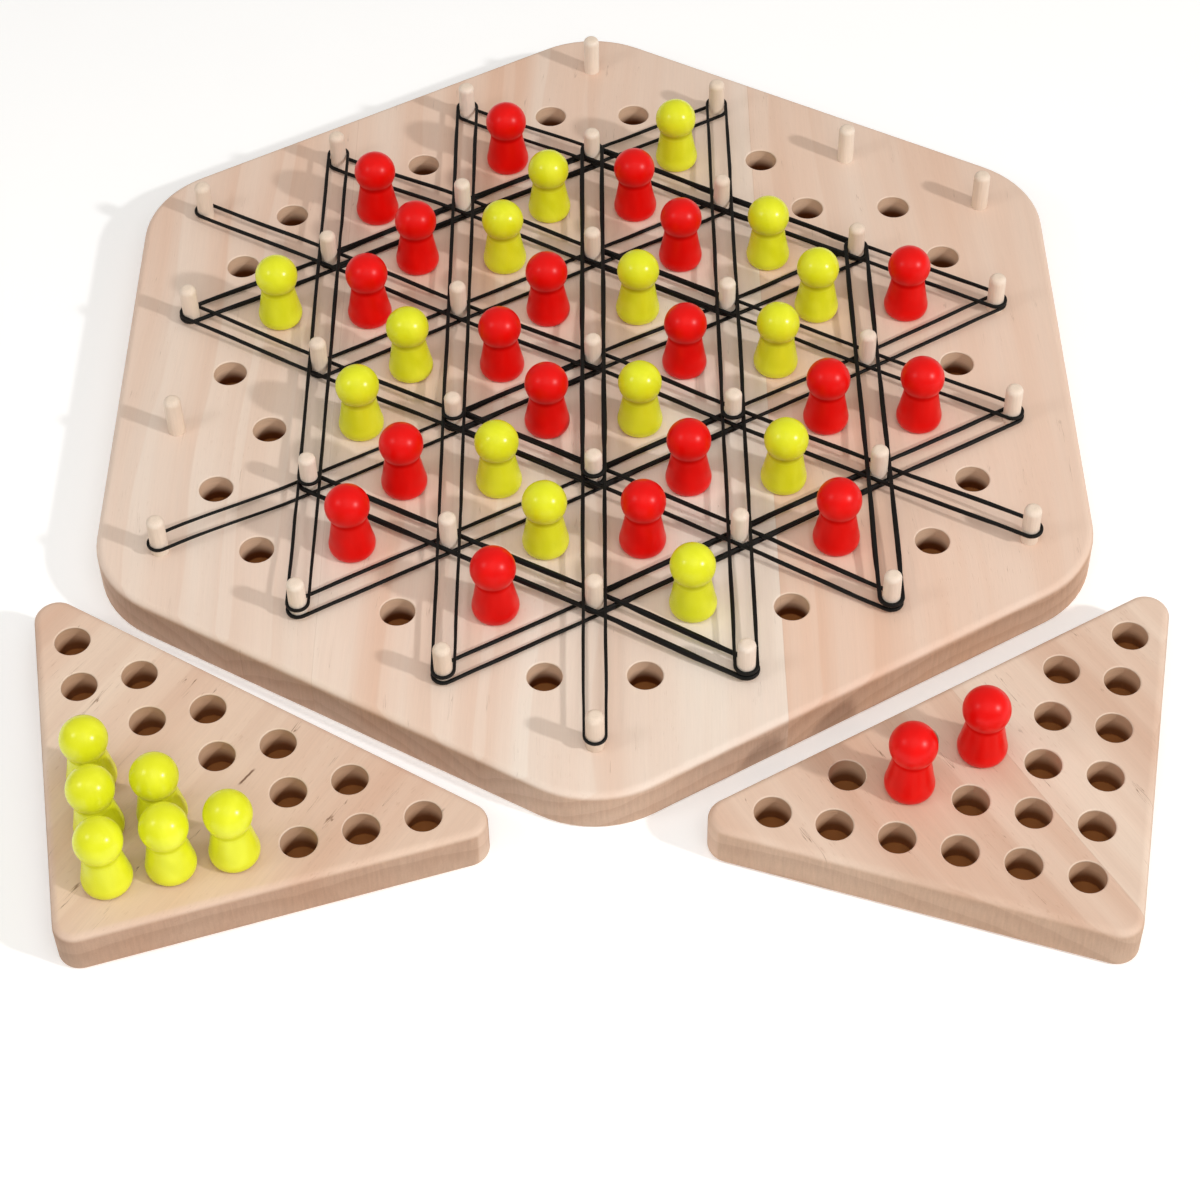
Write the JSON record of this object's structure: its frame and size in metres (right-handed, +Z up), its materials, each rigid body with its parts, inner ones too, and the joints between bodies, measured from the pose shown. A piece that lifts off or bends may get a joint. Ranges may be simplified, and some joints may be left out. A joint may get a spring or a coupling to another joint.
{
  "type": "triangle peg board game",
  "caption": "Hexagonal wooden peg board with rubber bands stretched round its pegs, red and yellow pawns in its holes, and a triangular tray of spare pawns on each side.",
  "frame": {"origin": "middle of the board's underside, on the table", "axes": "+Z up; -Y towards the player, through a corner of the hexagon; +X to the right, through a flat side"},
  "size_m": [0.2492, 0.2874, 0.0301],
  "materials": {
    "board_wood": "pale edge-glued hardwood, sanded, light satin oil",
    "dowel_wood": "pale turned dowel, sanded",
    "tray_wood": "pale hardwood with small dark flecks, sanded",
    "red_plastic": "moulded, glossy",
    "yellow_plastic": "moulded, glossy",
    "band_rubber": "black elastic, slight sheen"
  },
  "bodies": {
    "board": {"board_panel": "board_wood", "board_pegs": "dowel_wood"},
    "left_tray": {"left_tray": "tray_wood"},
    "right_tray": {"right_tray": "tray_wood"},
    "red_pawn_01": {"red_pawn_01": "red_plastic"},
    "red_pawn_02": {"red_pawn_02": "red_plastic"},
    "red_pawn_03": {"red_pawn_03": "red_plastic"},
    "red_pawn_04": {"red_pawn_04": "red_plastic"},
    "red_pawn_05": {"red_pawn_05": "red_plastic"},
    "red_pawn_06": {"red_pawn_06": "red_plastic"},
    "red_pawn_07": {"red_pawn_07": "red_plastic"},
    "red_pawn_08": {"red_pawn_08": "red_plastic"},
    "red_pawn_09": {"red_pawn_09": "red_plastic"},
    "red_pawn_10": {"red_pawn_10": "red_plastic"},
    "red_pawn_11": {"red_pawn_11": "red_plastic"},
    "red_pawn_12": {"red_pawn_12": "red_plastic"},
    "red_pawn_13": {"red_pawn_13": "red_plastic"},
    "red_pawn_14": {"red_pawn_14": "red_plastic"},
    "red_pawn_15": {"red_pawn_15": "red_plastic"},
    "red_pawn_16": {"red_pawn_16": "red_plastic"},
    "red_pawn_17": {"red_pawn_17": "red_plastic"},
    "red_pawn_18": {"red_pawn_18": "red_plastic"},
    "red_pawn_19": {"red_pawn_19": "red_plastic"},
    "red_pawn_20": {"red_pawn_20": "red_plastic"},
    "red_pawn_21": {"red_pawn_21": "red_plastic"},
    "yellow_pawn_01": {"yellow_pawn_01": "yellow_plastic"},
    "yellow_pawn_02": {"yellow_pawn_02": "yellow_plastic"},
    "yellow_pawn_03": {"yellow_pawn_03": "yellow_plastic"},
    "yellow_pawn_04": {"yellow_pawn_04": "yellow_plastic"},
    "yellow_pawn_05": {"yellow_pawn_05": "yellow_plastic"},
    "yellow_pawn_06": {"yellow_pawn_06": "yellow_plastic"},
    "yellow_pawn_07": {"yellow_pawn_07": "yellow_plastic"},
    "yellow_pawn_08": {"yellow_pawn_08": "yellow_plastic"},
    "yellow_pawn_09": {"yellow_pawn_09": "yellow_plastic"},
    "yellow_pawn_10": {"yellow_pawn_10": "yellow_plastic"},
    "yellow_pawn_11": {"yellow_pawn_11": "yellow_plastic"},
    "yellow_pawn_12": {"yellow_pawn_12": "yellow_plastic"},
    "yellow_pawn_13": {"yellow_pawn_13": "yellow_plastic"},
    "yellow_pawn_14": {"yellow_pawn_14": "yellow_plastic"},
    "yellow_pawn_15": {"yellow_pawn_15": "yellow_plastic"},
    "yellow_pawn_16": {"yellow_pawn_16": "yellow_plastic"},
    "yellow_pawn_17": {"yellow_pawn_17": "yellow_plastic"},
    "yellow_pawn_18": {"yellow_pawn_18": "yellow_plastic"},
    "yellow_pawn_19": {"yellow_pawn_19": "yellow_plastic"},
    "yellow_pawn_20": {"yellow_pawn_20": "yellow_plastic"},
    "yellow_pawn_21": {"yellow_pawn_21": "yellow_plastic"},
    "rubber_bands_rising_lower": {"rubber_bands_rising_lower": "band_rubber"},
    "rubber_bands_rising_upper": {"rubber_bands_rising_upper": "band_rubber"},
    "rubber_bands_falling_lower": {"rubber_bands_falling_lower": "band_rubber"},
    "rubber_bands_falling_upper": {"rubber_bands_falling_upper": "band_rubber"},
    "rubber_band_column_1_lower": {"rubber_band_column_1_lower": "band_rubber"},
    "rubber_band_column_1_upper": {"rubber_band_column_1_upper": "band_rubber"},
    "rubber_band_column_2_lower": {"rubber_band_column_2_lower": "band_rubber"},
    "rubber_band_column_2_upper": {"rubber_band_column_2_upper": "band_rubber"},
    "rubber_band_column_3_lower": {"rubber_band_column_3_lower": "band_rubber"},
    "rubber_band_column_3_upper": {"rubber_band_column_3_upper": "band_rubber"},
    "rubber_band_column_4_lower": {"rubber_band_column_4_lower": "band_rubber"},
    "rubber_band_column_4_upper": {"rubber_band_column_4_upper": "band_rubber"},
    "rubber_band_column_5": {"rubber_band_column_5": "band_rubber"}
  },
  "joints": [
    {"name": "left_tray_slide", "type": "slide", "parent": "board", "child": "left_tray", "axis": [-0.866, -0.5, 0], "range_m": [0, 0.08]},
    {"name": "right_tray_slide", "type": "slide", "parent": "board", "child": "right_tray", "axis": [0.866, -0.5, 0], "range_m": [0, 0.08]},
    {"name": "red_pawn_01_lift", "type": "slide", "parent": "board", "child": "red_pawn_01", "axis": [0, 0, 1], "range_m": [0, 0.018]},
    {"name": "red_pawn_02_lift", "type": "slide", "parent": "board", "child": "red_pawn_02", "axis": [0, 0, 1], "range_m": [0, 0.018]},
    {"name": "red_pawn_03_lift", "type": "slide", "parent": "board", "child": "red_pawn_03", "axis": [0, 0, 1], "range_m": [0, 0.018]},
    {"name": "red_pawn_04_lift", "type": "slide", "parent": "board", "child": "red_pawn_04", "axis": [0, 0, 1], "range_m": [0, 0.018]},
    {"name": "red_pawn_05_lift", "type": "slide", "parent": "board", "child": "red_pawn_05", "axis": [0, 0, 1], "range_m": [0, 0.018]},
    {"name": "red_pawn_06_lift", "type": "slide", "parent": "board", "child": "red_pawn_06", "axis": [0, 0, 1], "range_m": [0, 0.018]},
    {"name": "red_pawn_07_lift", "type": "slide", "parent": "board", "child": "red_pawn_07", "axis": [0, 0, 1], "range_m": [0, 0.018]},
    {"name": "red_pawn_08_lift", "type": "slide", "parent": "board", "child": "red_pawn_08", "axis": [0, 0, 1], "range_m": [0, 0.018]},
    {"name": "red_pawn_09_lift", "type": "slide", "parent": "board", "child": "red_pawn_09", "axis": [0, 0, 1], "range_m": [0, 0.018]},
    {"name": "red_pawn_10_lift", "type": "slide", "parent": "board", "child": "red_pawn_10", "axis": [0, 0, 1], "range_m": [0, 0.018]},
    {"name": "red_pawn_11_lift", "type": "slide", "parent": "board", "child": "red_pawn_11", "axis": [0, 0, 1], "range_m": [0, 0.018]},
    {"name": "red_pawn_12_lift", "type": "slide", "parent": "board", "child": "red_pawn_12", "axis": [0, 0, 1], "range_m": [0, 0.018]},
    {"name": "red_pawn_13_lift", "type": "slide", "parent": "board", "child": "red_pawn_13", "axis": [0, 0, 1], "range_m": [0, 0.018]},
    {"name": "red_pawn_14_lift", "type": "slide", "parent": "board", "child": "red_pawn_14", "axis": [0, 0, 1], "range_m": [0, 0.018]},
    {"name": "red_pawn_15_lift", "type": "slide", "parent": "board", "child": "red_pawn_15", "axis": [0, 0, 1], "range_m": [0, 0.018]},
    {"name": "red_pawn_16_lift", "type": "slide", "parent": "board", "child": "red_pawn_16", "axis": [0, 0, 1], "range_m": [0, 0.018]},
    {"name": "red_pawn_17_lift", "type": "slide", "parent": "board", "child": "red_pawn_17", "axis": [0, 0, 1], "range_m": [0, 0.018]},
    {"name": "red_pawn_18_lift", "type": "slide", "parent": "board", "child": "red_pawn_18", "axis": [0, 0, 1], "range_m": [0, 0.018]},
    {"name": "red_pawn_19_lift", "type": "slide", "parent": "board", "child": "red_pawn_19", "axis": [0, 0, 1], "range_m": [0, 0.018]},
    {"name": "red_pawn_20_lift", "type": "slide", "parent": "right_tray", "child": "red_pawn_20", "axis": [0, 0, 1], "range_m": [0, 0.018]},
    {"name": "red_pawn_21_lift", "type": "slide", "parent": "right_tray", "child": "red_pawn_21", "axis": [0, 0, 1], "range_m": [0, 0.018]},
    {"name": "yellow_pawn_01_lift", "type": "slide", "parent": "board", "child": "yellow_pawn_01", "axis": [0, 0, 1], "range_m": [0, 0.018]},
    {"name": "yellow_pawn_02_lift", "type": "slide", "parent": "board", "child": "yellow_pawn_02", "axis": [0, 0, 1], "range_m": [0, 0.018]},
    {"name": "yellow_pawn_03_lift", "type": "slide", "parent": "board", "child": "yellow_pawn_03", "axis": [0, 0, 1], "range_m": [0, 0.018]},
    {"name": "yellow_pawn_04_lift", "type": "slide", "parent": "board", "child": "yellow_pawn_04", "axis": [0, 0, 1], "range_m": [0, 0.018]},
    {"name": "yellow_pawn_05_lift", "type": "slide", "parent": "board", "child": "yellow_pawn_05", "axis": [0, 0, 1], "range_m": [0, 0.018]},
    {"name": "yellow_pawn_06_lift", "type": "slide", "parent": "board", "child": "yellow_pawn_06", "axis": [0, 0, 1], "range_m": [0, 0.018]},
    {"name": "yellow_pawn_07_lift", "type": "slide", "parent": "board", "child": "yellow_pawn_07", "axis": [0, 0, 1], "range_m": [0, 0.018]},
    {"name": "yellow_pawn_08_lift", "type": "slide", "parent": "board", "child": "yellow_pawn_08", "axis": [0, 0, 1], "range_m": [0, 0.018]},
    {"name": "yellow_pawn_09_lift", "type": "slide", "parent": "board", "child": "yellow_pawn_09", "axis": [0, 0, 1], "range_m": [0, 0.018]},
    {"name": "yellow_pawn_10_lift", "type": "slide", "parent": "board", "child": "yellow_pawn_10", "axis": [0, 0, 1], "range_m": [0, 0.018]},
    {"name": "yellow_pawn_11_lift", "type": "slide", "parent": "board", "child": "yellow_pawn_11", "axis": [0, 0, 1], "range_m": [0, 0.018]},
    {"name": "yellow_pawn_12_lift", "type": "slide", "parent": "board", "child": "yellow_pawn_12", "axis": [0, 0, 1], "range_m": [0, 0.018]},
    {"name": "yellow_pawn_13_lift", "type": "slide", "parent": "board", "child": "yellow_pawn_13", "axis": [0, 0, 1], "range_m": [0, 0.018]},
    {"name": "yellow_pawn_14_lift", "type": "slide", "parent": "board", "child": "yellow_pawn_14", "axis": [0, 0, 1], "range_m": [0, 0.018]},
    {"name": "yellow_pawn_15_lift", "type": "slide", "parent": "board", "child": "yellow_pawn_15", "axis": [0, 0, 1], "range_m": [0, 0.018]},
    {"name": "yellow_pawn_16_lift", "type": "slide", "parent": "left_tray", "child": "yellow_pawn_16", "axis": [0, 0, 1], "range_m": [0, 0.018]},
    {"name": "yellow_pawn_17_lift", "type": "slide", "parent": "left_tray", "child": "yellow_pawn_17", "axis": [0, 0, 1], "range_m": [0, 0.018]},
    {"name": "yellow_pawn_18_lift", "type": "slide", "parent": "left_tray", "child": "yellow_pawn_18", "axis": [0, 0, 1], "range_m": [0, 0.018]},
    {"name": "yellow_pawn_19_lift", "type": "slide", "parent": "left_tray", "child": "yellow_pawn_19", "axis": [0, 0, 1], "range_m": [0, 0.018]},
    {"name": "yellow_pawn_20_lift", "type": "slide", "parent": "left_tray", "child": "yellow_pawn_20", "axis": [0, 0, 1], "range_m": [0, 0.018]},
    {"name": "yellow_pawn_21_lift", "type": "slide", "parent": "left_tray", "child": "yellow_pawn_21", "axis": [0, 0, 1], "range_m": [0, 0.018]},
    {"name": "rubber_bands_rising_lower_lift", "type": "slide", "parent": "board", "child": "rubber_bands_rising_lower", "axis": [0, 0, 1], "range_m": [0, 0.011]},
    {"name": "rubber_bands_rising_upper_lift", "type": "slide", "parent": "rubber_bands_rising_lower", "child": "rubber_bands_rising_upper", "axis": [0, 0, 1], "range_m": [0, 0.011]},
    {"name": "rubber_bands_falling_lower_lift", "type": "slide", "parent": "rubber_bands_rising_upper", "child": "rubber_bands_falling_lower", "axis": [0, 0, 1], "range_m": [0, 0.011]},
    {"name": "rubber_bands_falling_upper_lift", "type": "slide", "parent": "rubber_bands_falling_lower", "child": "rubber_bands_falling_upper", "axis": [0, 0, 1], "range_m": [0, 0.011]},
    {"name": "rubber_band_column_1_lower_lift", "type": "slide", "parent": "rubber_bands_falling_upper", "child": "rubber_band_column_1_lower", "axis": [0, 0, 1], "range_m": [0, 0.011]},
    {"name": "rubber_band_column_1_upper_lift", "type": "slide", "parent": "rubber_band_column_1_lower", "child": "rubber_band_column_1_upper", "axis": [0, 0, 1], "range_m": [0, 0.011]},
    {"name": "rubber_band_column_2_lower_lift", "type": "slide", "parent": "rubber_bands_falling_upper", "child": "rubber_band_column_2_lower", "axis": [0, 0, 1], "range_m": [0, 0.011]},
    {"name": "rubber_band_column_2_upper_lift", "type": "slide", "parent": "rubber_band_column_2_lower", "child": "rubber_band_column_2_upper", "axis": [0, 0, 1], "range_m": [0, 0.011]},
    {"name": "rubber_band_column_3_lower_lift", "type": "slide", "parent": "rubber_bands_falling_upper", "child": "rubber_band_column_3_lower", "axis": [0, 0, 1], "range_m": [0, 0.011]},
    {"name": "rubber_band_column_3_upper_lift", "type": "slide", "parent": "rubber_band_column_3_lower", "child": "rubber_band_column_3_upper", "axis": [0, 0, 1], "range_m": [0, 0.011]},
    {"name": "rubber_band_column_4_lower_lift", "type": "slide", "parent": "rubber_bands_falling_upper", "child": "rubber_band_column_4_lower", "axis": [0, 0, 1], "range_m": [0, 0.011]},
    {"name": "rubber_band_column_4_upper_lift", "type": "slide", "parent": "rubber_band_column_4_lower", "child": "rubber_band_column_4_upper", "axis": [0, 0, 1], "range_m": [0, 0.011]},
    {"name": "rubber_band_column_5_lift", "type": "slide", "parent": "rubber_bands_falling_upper", "child": "rubber_band_column_5", "axis": [0, 0, 1], "range_m": [0, 0.011]}
  ]
}
